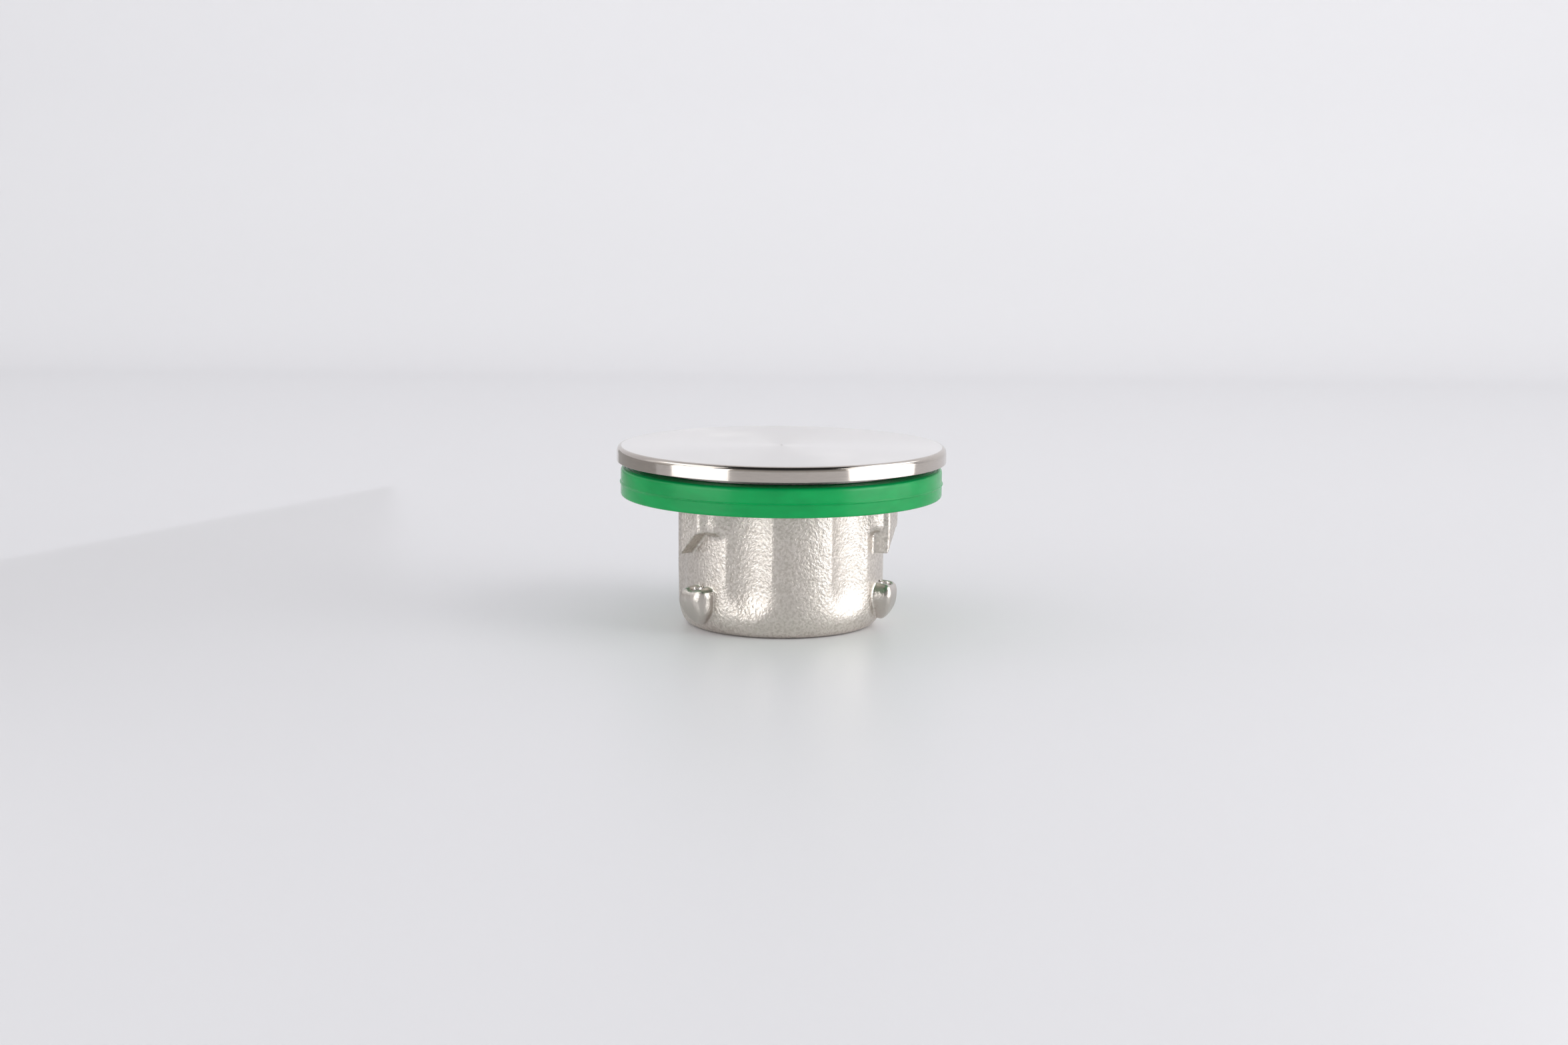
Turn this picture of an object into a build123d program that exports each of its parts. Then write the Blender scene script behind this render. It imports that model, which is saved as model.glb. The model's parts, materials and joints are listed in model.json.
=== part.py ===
from build123d import *
import os
from math import cos, radians, sin

os.makedirs("parts", exist_ok=True)

# A bayonet-lock valve insert: a fluted cast barrel with a seal ring around its flange, and a
# sprung lift disc that closes on the ring. Millimetres, z up, z 0 at the foot of the barrel.
# Driving dimensions come first, one group for each sub-part.

running_clearance = 0.05
fitted_clearance = 0.02

# Barrel and flange of the casting
barrel_radius = 18.8
foot_radius = 16.1
foot_round_height = 4.5
collar_radius = 22.2
collar_bottom = 23.1
flange_radius = 26.4
flange_bottom = 24.8
flange_top = 27.4
flange_edge_break = 0.4
bore_radius = 14.9
guide_bore_radius = 15.3
guide_shoulder = 17.7
mouth_radius = 15.4
mouth_depth = 1.9
groove_radius = 16.2
lower_groove_bottom = 0.58
lower_groove_top = 1.32
upper_groove_bottom = 22.72
upper_groove_top = 23.46

# Flutes in the barrel
flute_count = 6
flute_start_angle = 30
flute_depth = 1.25
flute_half_angle = 13.3
flute_run_out_bottom = 2.2
flute_run_out_depth = -0.3
flute_run_out_top = 7.0

# Bayonet lugs
lug_count = 3
lug_root_radius = 17.0
shelf_radius = 20.5
shelf_flat_angle = 11.0
shelf_end_outline = ((19.75, 14.0), (18.85, 17.0), (18.3, 20.0), (17.2, 25.0))
shelf_bottom = 18.4
shelf_round = 0.7
fang_radius = 21.6
fang_foot_radius = 21.4
fang_draft_top = 20.0
fang_tip = 14.2
fang_near_side = -3.3
fang_far_side = 2.73
fang_tip_width = 0.15
fang_ramp_top = 1.1
fang_corner_round = 0.75
fang_tip_round = 0.4
seat_lug_bottom = 1.85
seat_lug_foot_radius = 17.6
seat_lug_top = 8.4
seat_lug_profile = ((19.8, 2.3), (20.9, 4.0), (21.55, 6.2), (21.45, 7.5), (21.0, 8.1))
seat_lug_offset = -0.65
seat_lug_front = ((1.5, 2.7), (2.9, 4.9), (3.25, 6.4), (2.7, 7.7))
seat_lug_half_width = 3.3
seat_lug_radius = 21.6
seat_lug_side_round = 1.8
pin_seat_radius = 1.15
pin_seat_pitch_radius = 19.9
pin_seat_height = 8.35

# Seal ring
ring_radius = 29.26
ring_bottom = 23.6
ring_top = 28.8
ring_lower_lip_radius = 22.4
ring_upper_lip_radius = 23.0
ring_top_round = 0.45
ring_bottom_round = 0.3
flash_radius = 29.5
flash_height = 26.0
flash_half_width = 0.16
ridge_count = 7
ridge_pitch = 0.8
ridge_depth = 0.25
ridge_first_radius = 23.7

# Disc
disc_radius = 30.0
disc_bottom = 29.9
disc_top = 32.6
disc_chamfer_height = 0.8
disc_chamfer_width = 0.55
centre_mark_radius = 0.45
centre_mark_depth = 0.4
seat_land_inner = 23.6
seat_land_outer = 25.4
boss_radius = 6.0
boss_bottom = 26.9
disc_thread_radius = 2.5
disc_thread_depth = 4.2

# Stem
stem_radius = 2.2
stem_end = 2.8
stem_tail_radius = 2.0
stem_tail_top = 6.65
stem_collar_bottom = 25.3
stem_collar_top = 26.4
stem_collar_flats = 7.0
stem_edge_break = 0.3
pin_hole_radius = 0.45
pin_hole_height = 3.6

# Guide spider and its bushes
hub_radius = 5.8
hub_top = 24.4
hub_bore_radius = 3.2
spider_rim_inner = 13.4
spider_height = 5.0
spider_arm_width = 2.6
spider_arm_angle = 60
spider_arm_overlap = 0.5
bush_length = 2.5
bush_flange_radius = 3.9
bush_flange_thickness = 0.6

# Spring and the pieces that hold it
lift = 5.0
spring_seat_thickness = 0.8
spring_seat_inner = 4.0
spring_seat_radius = 6.4
spring_seat_lip = 0.4
spring_seat_lip_height = 1.0
spring_bottom = 7.5
spring_mean_radius = 5.2
spring_wire_radius = 0.4
spring_turns = 4.5
retainer_thickness = 0.8
sleeve_radius = 3.4
buffer_radius = 3.8
buffer_thickness = 0.9
thrust_washer_radius = 4.4
thrust_washer_thickness = 0.5

# Castle nut and split pin
nut_flats = 7.0
nut_body_height = 1.9
nut_height = 3.1
nut_turret_radius = 3.0
nut_slot_width = 1.0
nut_slot_depth = 1.1
pin_wire_radius = 0.19
pin_leg_offset = 0.21
pin_bend_radius = 0.18
pin_leg_end = 3.3
pin_tail_end = 3.9
pin_tail_spread = 1.5
pin_eye_neck = 3.2
pin_eye_shoulder = 3.7
pin_eye_end = 4.6
pin_eye_half_width = 0.8

# Strainer and its snap ring
strainer_radius = 15.3
strainer_thickness = 0.6
strainer_hole_radius = 0.85
strainer_hole_pitch = 2.5
strainer_hole_rings = 5
snap_ring_radius = 16.1
snap_ring_inner = 14.7
snap_ring_thickness = 0.7
snap_ring_gap = 4.4
snap_ear_radius = 1.3
snap_ear_pitch_radius = 13.9
snap_ear_angle = 13
snap_ear_hole_radius = 0.6

# Worked out from the driving dimensions
seat_land_bottom = ring_top + running_clearance
disc_thread_top = boss_bottom + disc_thread_depth
hub_bottom = guide_shoulder
spider_arm_length = spider_rim_inner - hub_bore_radius + 2 * spider_arm_overlap
spring_top = hub_bottom - spring_seat_thickness
lower_bush_bottom = hub_bottom - bush_flange_thickness
retainer_bottom = spring_bottom - retainer_thickness
thrust_washer_bottom = retainer_bottom - thrust_washer_thickness
nut_bottom = thrust_washer_bottom - nut_height
buffer_top = lower_bush_bottom - lift - running_clearance
sleeve_top = buffer_top - buffer_thickness
strainer_bottom = mouth_depth - strainer_thickness
lower_snap_ring_bottom = strainer_bottom - snap_ring_thickness
upper_snap_ring_bottom = upper_groove_bottom + fitted_clearance


def radial_plane(azimuth):
    """Upright plane through the axis, its x pointing outwards at the azimuth."""
    angle = radians(azimuth)
    return Plane((0, 0, 0), x_dir=(cos(angle), sin(angle), 0), z_dir=(sin(angle), -cos(angle), 0))


def save(piece, label):
    """Name a finished piece and write its STEP file."""
    piece.part.label = label
    export_step(piece.part, f"parts/{label}.step")


def washer(inner_radius, outer_radius, bottom, thickness):
    """Flat ring about the axis."""
    with BuildPart() as ring:
        with BuildSketch(Plane.XY.offset(bottom)):
            Circle(outer_radius)
            Circle(inner_radius, mode=Mode.SUBTRACT)
        extrude(amount=thickness)
    return ring


def at_angle(radius, azimuth):
    """Point of a plan view at that radius and azimuth."""
    return (radius * cos(radians(azimuth)), radius * sin(radians(azimuth)))


# --- Flute cutter: a bar with a tapered end, so that the flutes run out above the foot
half_chord = barrel_radius * sin(radians(flute_half_angle))
chord_radius = barrel_radius * cos(radians(flute_half_angle))
flute_sagitta = chord_radius - (barrel_radius - flute_depth)
flute_radius = (half_chord**2 + flute_sagitta**2) / (2 * flute_sagitta)
flute_axis_radius = barrel_radius - flute_depth + flute_radius

with BuildPart() as flute_cutter:
    with BuildSketch(Plane.XZ):
        with BuildLine():
            Polyline(
                (0, flute_run_out_bottom),
                (flute_radius - flute_depth + flute_run_out_depth, flute_run_out_bottom),
                (flute_radius, flute_run_out_top),
                (flute_radius, collar_bottom),
                (0, collar_bottom),
                close=True,
            )
        make_face()
    revolve(axis=Axis.Z)

# --- Upper lug: a shelf across the land with a ramped fang hanging from it
with BuildPart() as fang:
    with BuildSketch(Plane.YZ.offset(lug_root_radius)):
        with BuildLine():
            Polyline(
                (fang_near_side, collar_bottom),
                (fang_near_side, fang_tip),
                (fang_near_side + fang_tip_width, fang_tip),
                (fang_ramp_top, shelf_bottom),
                (fang_far_side, shelf_bottom),
                (fang_far_side, collar_bottom),
                close=True,
            )
        make_face()
    extrude(amount=fang_radius - lug_root_radius)
    with BuildSketch(Plane.XY.offset(fang_tip)) as fang_plan:
        with BuildLine():
            Polyline(
                (lug_root_radius, fang_near_side),
                (fang_radius, fang_near_side),
                (fang_radius, fang_far_side),
                (lug_root_radius, fang_far_side),
                close=True,
            )
        make_face()
        fillet(fang_plan.vertices().group_by(Axis.X)[-1], fang_corner_round)
    extrude(amount=collar_bottom - fang_tip, mode=Mode.INTERSECT)
    with BuildSketch(Plane.XZ) as fang_profile:
        with BuildLine():
            Polyline(
                (lug_root_radius, fang_tip),
                (fang_foot_radius, fang_tip),
                (fang_radius, fang_draft_top),
                (fang_radius, collar_bottom),
                (lug_root_radius, collar_bottom),
                close=True,
            )
        make_face()
        fillet(fang_profile.vertices().group_by(Axis.Y)[0].sort_by(Axis.X)[-1], fang_tip_round)
    extrude(amount=fang_radius, both=True, mode=Mode.INTERSECT)

with BuildPart() as shelf:
    with BuildSketch(Plane.XY.offset(shelf_bottom)):
        with BuildLine():
            ThreePointArc(
                at_angle(shelf_radius, -shelf_flat_angle),
                (shelf_radius, 0),
                at_angle(shelf_radius, shelf_flat_angle),
            )
            for side in (-1, 1):
                Spline(
                    at_angle(shelf_radius, side * shelf_flat_angle),
                    *(at_angle(radius, side * angle) for radius, angle in shelf_end_outline),
                )
            Polyline(
                at_angle(*shelf_end_outline[-1]),
                (lug_root_radius * cos(radians(shelf_end_outline[-1][1])), 0),
                at_angle(shelf_end_outline[-1][0], -shelf_end_outline[-1][1]),
            )
        make_face()
    extrude(amount=collar_bottom - shelf_bottom)
    fillet(shelf.edges().group_by(Axis.Z)[0].filter_by(GeomType.CIRCLE), shelf_round)

# --- Seat lug: a rounded nose low on the same land, with a machined bowl for the bayonet pin
with BuildPart() as seat_lug:
    with BuildSketch(Plane.XZ):
        with BuildLine():
            Spline((seat_lug_foot_radius, seat_lug_bottom), *seat_lug_profile)
            Polyline(
                seat_lug_profile[-1],
                (barrel_radius, seat_lug_top),
                (lug_root_radius, seat_lug_top),
                (lug_root_radius, seat_lug_bottom),
                (seat_lug_foot_radius, seat_lug_bottom),
            )
        make_face()
    extrude(amount=2 * seat_lug_half_width, both=True)
    with BuildSketch(Plane.YZ):
        with Locations((seat_lug_offset, 0)):
            with BuildLine() as seat_lug_side:
                Spline((0, seat_lug_bottom), *seat_lug_front, (0, seat_lug_top), tangents=((1, 0), (-1, 0)))
                mirror(about=Plane.YZ)
            make_face()
    extrude(amount=seat_lug_radius, mode=Mode.INTERSECT)
    with BuildSketch(Plane.XY):
        with Locations((0, seat_lug_offset)):
            RectangleRounded(2 * seat_lug_radius, 2 * seat_lug_half_width, seat_lug_side_round)
    extrude(amount=seat_lug_top, mode=Mode.INTERSECT)
# --- Casting: turned body, flutes, lugs and pin seats
with BuildPart() as cage_casting:
    with BuildSketch(Plane.XZ):
        with BuildLine():
            EllipticalCenterArc(
                (foot_radius, foot_round_height),
                barrel_radius - foot_radius,
                foot_round_height,
                start_angle=270,
                arc_size=90,
            )
            Polyline(
                (barrel_radius, foot_round_height),
                (barrel_radius, collar_bottom),
                (collar_radius, collar_bottom),
                (collar_radius, flange_bottom),
                (flange_radius, flange_bottom),
                (flange_radius, flange_top),
                (bore_radius, flange_top),
                (bore_radius, mouth_depth),
                (mouth_radius, mouth_depth),
                (mouth_radius, 0),
                (foot_radius, 0),
            )
        make_face()
    revolve(axis=Axis.Z)
    with PolarLocations(flute_axis_radius, flute_count, start_angle=flute_start_angle):
        add(flute_cutter.part, mode=Mode.SUBTRACT)
    with PolarLocations(0, lug_count):
        add(fang.part)
        add(shelf.part)
        add(seat_lug.part)
    with BuildSketch(Plane.XY.offset(guide_shoulder)):
        Circle(guide_bore_radius)
    extrude(amount=flange_top - guide_shoulder, mode=Mode.SUBTRACT)
    with BuildSketch(Plane.XY.offset(lower_groove_bottom)):
        Circle(groove_radius)
    extrude(amount=lower_groove_top - lower_groove_bottom, mode=Mode.SUBTRACT)
    with BuildSketch(Plane.XY.offset(upper_groove_bottom)):
        Circle(groove_radius)
    extrude(amount=upper_groove_top - upper_groove_bottom, mode=Mode.SUBTRACT)
    chamfer(cage_casting.edges().group_by(Axis.Z)[-1].sort_by(SortBy.RADIUS)[0], flange_edge_break)
    with Locations((0, 0, pin_seat_height)):
        with PolarLocations(pin_seat_pitch_radius, lug_count):
            Sphere(pin_seat_radius, mode=Mode.SUBTRACT)
save(cage_casting, "cage_casting")

# --- Seal ring: a moulded ring snapped over the flange, its top face ridged
with BuildPart() as seal_ring:
    with BuildSketch(Plane.XZ) as ring_section:
        with BuildLine():
            Polyline(
                (ring_lower_lip_radius, ring_bottom),
                (ring_radius, ring_bottom),
                (ring_radius, ring_top),
                (ring_upper_lip_radius, ring_top),
                (ring_upper_lip_radius, flange_top + fitted_clearance),
                (flange_radius + fitted_clearance, flange_top + fitted_clearance),
                (flange_radius + fitted_clearance, flange_bottom - fitted_clearance),
                (ring_lower_lip_radius, flange_bottom - fitted_clearance),
                close=True,
            )
        make_face()
        outer_corners = ring_section.vertices().group_by(Axis.X)[-1].sort_by(Axis.Y)
        fillet(outer_corners[-1], ring_top_round)
        fillet(outer_corners[0], ring_bottom_round)
        with BuildLine():
            Polyline(
                (ring_radius - flash_half_width, flash_height - 2 * flash_half_width),
                (ring_radius, flash_height - flash_half_width),
                (flash_radius, flash_height),
                (ring_radius, flash_height + flash_half_width),
                (ring_radius - flash_half_width, flash_height + 2 * flash_half_width),
                close=True,
            )
        make_face()
        for index in range(ridge_count):
            valley = ridge_first_radius + index * ridge_pitch
            with BuildLine():
                Polyline(
                    (valley - ridge_depth, ring_top + running_clearance),
                    (valley, ring_top - ridge_depth),
                    (valley + ridge_depth, ring_top + running_clearance),
                    close=True,
                )
            make_face(mode=Mode.SUBTRACT)
    revolve(axis=Axis.Z)
save(seal_ring, "seal_ring")

# --- Guide spider: hub on three arms inside a rim pressed into the casting
with BuildPart() as guide_spider:
    with BuildSketch(Plane.XY.offset(hub_bottom)):
        Circle(guide_bore_radius - fitted_clearance)
        Circle(spider_rim_inner, mode=Mode.SUBTRACT)
    extrude(amount=spider_height)
    with BuildSketch(Plane.XY.offset(hub_bottom)):
        Circle(hub_radius)
    extrude(amount=hub_top - hub_bottom)
    chamfer(guide_spider.edges().group_by(Axis.Z)[-1], flange_edge_break)
    with BuildSketch(Plane.XY.offset(hub_bottom)):
        with PolarLocations((hub_bore_radius + spider_rim_inner) / 2, lug_count, start_angle=spider_arm_angle):
            Rectangle(spider_arm_length, spider_arm_width)
    extrude(amount=spider_height)
    with BuildSketch(Plane.XY.offset(hub_bottom)):
        Circle(hub_bore_radius)
    extrude(amount=hub_top - hub_bottom, mode=Mode.SUBTRACT)
save(guide_spider, "guide_spider")

# --- Guide bushes: one flanged bush at each end of the hub
bush_outer = hub_bore_radius - fitted_clearance
bush_inner = stem_radius + running_clearance

with BuildPart() as upper_guide_bush:
    with BuildSketch(Plane.XY.offset(hub_top - bush_length)):
        Circle(bush_outer)
    extrude(amount=bush_length)
    with BuildSketch(Plane.XY.offset(hub_top)):
        Circle(bush_flange_radius)
    extrude(amount=bush_flange_thickness)
    with BuildSketch(Plane.XY.offset(hub_top - bush_length)):
        Circle(bush_inner)
    extrude(amount=bush_length + bush_flange_thickness, mode=Mode.SUBTRACT)
save(upper_guide_bush, "upper_guide_bush")

with BuildPart() as lower_guide_bush:
    with BuildSketch(Plane.XY.offset(hub_bottom)):
        Circle(bush_outer)
    extrude(amount=bush_length)
    with BuildSketch(Plane.XY.offset(lower_bush_bottom)):
        Circle(bush_flange_radius)
    extrude(amount=bush_flange_thickness)
    with BuildSketch(Plane.XY.offset(lower_bush_bottom)):
        Circle(bush_inner)
    extrude(amount=bush_length + bush_flange_thickness, mode=Mode.SUBTRACT)
save(lower_guide_bush, "lower_guide_bush")

# --- Spring seat: a lipped washer under the hub, around the lower bush flange
with BuildPart() as spring_seat:
    with BuildSketch(Plane.XY.offset(spring_top)):
        Circle(spring_seat_radius)
        Circle(spring_seat_inner, mode=Mode.SUBTRACT)
    extrude(amount=spring_seat_thickness)
    with BuildSketch(Plane.XY.offset(spring_top)):
        Circle(spring_seat_radius)
        Circle(spring_seat_radius - spring_seat_lip, mode=Mode.SUBTRACT)
    extrude(amount=-spring_seat_lip_height)
save(spring_seat, "spring_seat")

# --- Spring: compressed between the spring seat and the retainer
coil_bottom = spring_bottom + spring_wire_radius
coil_height = spring_top - spring_bottom - 2 * spring_wire_radius

with BuildPart() as spring:
    with BuildLine() as coil:
        Helix(
            pitch=coil_height / spring_turns,
            height=coil_height,
            radius=spring_mean_radius,
            center=(0, 0, coil_bottom),
        )
    with BuildSketch(Plane(origin=coil.line @ 0, z_dir=coil.line % 0)):
        Circle(spring_wire_radius)
    sweep(is_frenet=True)
save(spring, "spring")

# --- Spring retainer: the same lipped washer turned over, on the stem under the spring
with BuildPart() as spring_retainer:
    with BuildSketch(Plane.XY.offset(retainer_bottom)):
        Circle(spring_seat_radius)
        Circle(stem_radius + running_clearance, mode=Mode.SUBTRACT)
    extrude(amount=retainer_thickness)
    with BuildSketch(Plane.XY.offset(spring_bottom)):
        Circle(spring_seat_radius)
        Circle(spring_seat_radius - spring_seat_lip, mode=Mode.SUBTRACT)
    extrude(amount=spring_seat_lip_height)
save(spring_retainer, "spring_retainer")

# --- Stop sleeve and buffer washer: loose on the stem inside the spring, they end the lift
stop_sleeve = washer(
    stem_radius + running_clearance,
    sleeve_radius,
    spring_bottom + fitted_clearance,
    sleeve_top - spring_bottom - fitted_clearance,
)
save(stop_sleeve, "stop_sleeve")

buffer_washer = washer(
    stem_radius + running_clearance,
    buffer_radius,
    sleeve_top + fitted_clearance,
    buffer_thickness - fitted_clearance,
)
save(buffer_washer, "buffer_washer")

# --- Disc: plate with a bevelled rim, a seat land over the ring and a threaded boss
with BuildPart() as disc:
    with BuildSketch(Plane.XZ):
        with BuildLine():
            Polyline(
                (0, disc_top - centre_mark_depth),
                (centre_mark_radius, disc_top),
                (disc_radius - disc_chamfer_width, disc_top),
                (disc_radius, disc_top - disc_chamfer_height),
                (disc_radius, disc_bottom),
                (seat_land_outer, disc_bottom),
                (seat_land_outer, seat_land_bottom),
                (seat_land_inner, seat_land_bottom),
                (seat_land_inner, disc_bottom),
                (boss_radius, disc_bottom),
                (boss_radius, boss_bottom),
                (disc_thread_radius, boss_bottom),
                (disc_thread_radius, disc_thread_top),
                (0, disc_thread_top),
                close=True,
            )
        make_face()
    revolve(axis=Axis.Z)
save(disc, "disc")

# --- Stem: screwed into the boss by its hexagonal collar, cross-drilled at the tail
with BuildPart() as stem:
    with BuildSketch(Plane.XY.offset(stem_end)):
        Circle(stem_tail_radius)
    extrude(amount=stem_tail_top - stem_end)
    chamfer(stem.edges().group_by(Axis.Z)[0], stem_edge_break)
    with BuildSketch(Plane.XY.offset(stem_tail_top)):
        Circle(stem_radius)
    extrude(amount=stem_collar_bottom - stem_tail_top)
    with BuildSketch(Plane.XY.offset(stem_collar_bottom)):
        RegularPolygon(stem_collar_flats / 2, side_count=6, major_radius=False)
    extrude(amount=stem_collar_top - stem_collar_bottom)
    with BuildSketch(Plane.XY.offset(stem_collar_top)):
        Circle(disc_thread_radius - fitted_clearance)
    extrude(amount=disc_thread_top - fitted_clearance - stem_collar_top)
    with BuildSketch(Plane.YZ):
        with Locations((0, pin_hole_height)):
            Circle(pin_hole_radius)
    extrude(amount=2 * stem_radius, both=True, mode=Mode.SUBTRACT)
save(stem, "stem")

# --- Stem gasket: seals the thread between the collar and the boss
stem_gasket = washer(
    disc_thread_radius + running_clearance,
    bush_flange_radius,
    stem_collar_top + fitted_clearance,
    boss_bottom - stem_collar_top - 2 * fitted_clearance,
)
save(stem_gasket, "stem_gasket")

# --- Thrust washer: lets the stem turn while the retainer and the spring stand still
thrust_washer = washer(
    stem_radius + running_clearance,
    thrust_washer_radius,
    thrust_washer_bottom + fitted_clearance,
    thrust_washer_thickness - 2 * fitted_clearance,
)
save(thrust_washer, "thrust_washer")

# --- Castle nut: slots downwards, locked to the stem by the split pin
with BuildPart() as castle_nut:
    with BuildSketch(Plane.XY.offset(thrust_washer_bottom)):
        RegularPolygon(nut_flats / 2, side_count=6, major_radius=False)
    extrude(amount=-nut_body_height)
    with BuildSketch(Plane.XY.offset(thrust_washer_bottom - nut_body_height)):
        Circle(nut_turret_radius)
    extrude(amount=-(nut_height - nut_body_height))
    with BuildSketch(Plane.XY.offset(nut_bottom)):
        with PolarLocations(0, lug_count):
            Rectangle(nut_flats, nut_slot_width)
    extrude(amount=nut_slot_depth, mode=Mode.SUBTRACT)
    with BuildSketch(Plane.XY.offset(nut_bottom)):
        Circle(stem_tail_radius + fitted_clearance)
    extrude(amount=nut_height, mode=Mode.SUBTRACT)
save(castle_nut, "castle_nut")

# --- Split pin: one wire folded double around an eye, its two tails spread
with BuildPart() as split_pin:
    with BuildLine(Plane.XY.offset(pin_hole_height)) as pin_wire:
        FilletPolyline(
            (pin_tail_end, pin_tail_spread),
            (pin_leg_end, pin_leg_offset),
            (-pin_eye_neck, pin_leg_offset),
            (-pin_eye_shoulder, pin_eye_half_width),
            (-pin_eye_end, pin_eye_half_width),
            (-pin_eye_end, -pin_eye_half_width),
            (-pin_eye_shoulder, -pin_eye_half_width),
            (-pin_eye_neck, -pin_leg_offset),
            (pin_leg_end, -pin_leg_offset),
            (pin_tail_end, -pin_tail_spread),
            radius=pin_bend_radius,
        )
    with BuildSketch(Plane(origin=pin_wire.line @ 0, z_dir=pin_wire.line % 0)):
        Circle(pin_wire_radius)
    sweep()
save(split_pin, "split_pin")

# --- Strainer: a perforated plate in the mouth of the barrel
with BuildPart() as strainer_screen:
    with BuildSketch(Plane.XY.offset(strainer_bottom)):
        Circle(strainer_radius)
        Circle(strainer_hole_radius, mode=Mode.SUBTRACT)
        for ring_index in range(1, strainer_hole_rings + 1):
            with PolarLocations(ring_index * strainer_hole_pitch, 6 * ring_index):
                Circle(strainer_hole_radius, mode=Mode.SUBTRACT)
    extrude(amount=strainer_thickness)
save(strainer_screen, "strainer_screen")

# --- Snap rings: open rings with eared ends, one under the strainer and one over the spider
def snap_ring(bottom):
    """Internal snap ring with its gap and its two drilled ears towards +X."""
    with BuildPart() as ring:
        with BuildSketch(Plane.XY.offset(bottom)):
            Circle(snap_ring_radius)
            Circle(snap_ring_inner, mode=Mode.SUBTRACT)
            with Locations((snap_ring_radius, 0)):
                Rectangle(snap_ring_radius, snap_ring_gap, mode=Mode.SUBTRACT)
            for ear_angle in (-snap_ear_angle, snap_ear_angle):
                with PolarLocations(snap_ear_pitch_radius, 1, start_angle=ear_angle):
                    Circle(snap_ear_radius)
                    Circle(snap_ear_hole_radius, mode=Mode.SUBTRACT)
        extrude(amount=snap_ring_thickness)
    return ring


strainer_snap_ring = snap_ring(lower_snap_ring_bottom)
save(strainer_snap_ring, "strainer_snap_ring")

spider_snap_ring = snap_ring(upper_snap_ring_bottom)
save(spider_snap_ring, "spider_snap_ring")
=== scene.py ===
import json
from math import atan2, cos, degrees, pi, radians, sin

import bmesh
import bpy
from bpy.props import FloatProperty, FloatVectorProperty, IntProperty, PointerProperty
from mathutils import Matrix, Vector

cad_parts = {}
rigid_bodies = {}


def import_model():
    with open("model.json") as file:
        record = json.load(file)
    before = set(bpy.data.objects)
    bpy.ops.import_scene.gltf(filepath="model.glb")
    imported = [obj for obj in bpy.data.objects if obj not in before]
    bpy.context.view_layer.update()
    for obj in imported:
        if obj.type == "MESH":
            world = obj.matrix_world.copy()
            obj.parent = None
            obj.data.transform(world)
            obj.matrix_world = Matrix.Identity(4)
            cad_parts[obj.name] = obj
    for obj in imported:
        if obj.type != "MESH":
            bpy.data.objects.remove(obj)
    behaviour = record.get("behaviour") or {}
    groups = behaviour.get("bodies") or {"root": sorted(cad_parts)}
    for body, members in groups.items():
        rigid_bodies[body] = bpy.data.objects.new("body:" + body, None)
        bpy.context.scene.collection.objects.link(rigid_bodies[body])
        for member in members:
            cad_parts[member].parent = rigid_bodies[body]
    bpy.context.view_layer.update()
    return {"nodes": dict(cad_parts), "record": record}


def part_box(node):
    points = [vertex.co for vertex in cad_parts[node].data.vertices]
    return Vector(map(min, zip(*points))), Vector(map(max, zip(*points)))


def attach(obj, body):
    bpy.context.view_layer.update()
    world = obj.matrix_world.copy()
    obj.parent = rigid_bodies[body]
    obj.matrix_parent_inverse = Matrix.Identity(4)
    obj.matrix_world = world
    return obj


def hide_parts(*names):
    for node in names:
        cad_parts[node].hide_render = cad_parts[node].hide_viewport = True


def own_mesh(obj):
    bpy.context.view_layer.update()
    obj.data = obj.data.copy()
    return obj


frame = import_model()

bl_info = {
    "name": "Bayonet valve insert",
    "version": (1, 0, 0),
    "blender": (4, 5, 0),
    "location": "View3D > Sidebar > Insert",
    "description": "Builds the visible pieces of a bayonet valve insert around its CAD frame",
    "category": "Add Mesh",
}

MM = 0.001
FULL_TURN = 2 * pi
# Corners closer than this are one corner.
WELD = 1e-6
# The cast skin and the turned flange meet this far below the flange's underside.
SEAM = 0.05 * MM

disc_low, disc_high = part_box("disc")
ring_low, ring_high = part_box("seal_ring")
_, cage_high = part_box("cage_casting")
_, screen_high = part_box("strainer_screen")
lower_clip_low, lower_clip_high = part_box("strainer_snap_ring")
upper_clip_low, upper_clip_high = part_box("spider_snap_ring")
spider_low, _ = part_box("guide_spider")


# ---------------------------------------------------------------- sizes and colours


class DiscSizes(bpy.types.PropertyGroup):
    """Sizes of the lift disc."""

    radius: FloatProperty(name="Radius", description="Outer radius of the plate",
                          default=disc_high.x, unit="LENGTH")
    thickness: FloatProperty(name="Thickness", description="Height of the plate at its rim",
                             default=2.7 * MM, unit="LENGTH")
    edge_height: FloatProperty(name="Edge height", description="Height of the rim's rounded edge",
                               default=0.95 * MM, unit="LENGTH")
    edge_width: FloatProperty(name="Edge width", description="Width of the rim's rounded edge",
                              default=0.8 * MM, unit="LENGTH")
    edge_steps: IntProperty(name="Edge steps", description="Facets across the rim's rounded edge", default=8)
    land_inner: FloatProperty(name="Land inner radius", description="Inner radius of the seat land",
                              default=23.6 * MM, unit="LENGTH")
    land_outer: FloatProperty(name="Land outer radius", description="Outer radius of the seat land",
                              default=25.4 * MM, unit="LENGTH")
    boss_radius: FloatProperty(name="Boss radius", description="Radius of the threaded boss",
                               default=6.0 * MM, unit="LENGTH")
    mark_radius: FloatProperty(name="Centre mark radius", description="Radius of the lathe centre mark",
                               default=0.45 * MM, unit="LENGTH")
    mark_depth: FloatProperty(name="Centre mark depth", description="Depth of the lathe centre mark",
                              default=0.4 * MM, unit="LENGTH")


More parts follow.
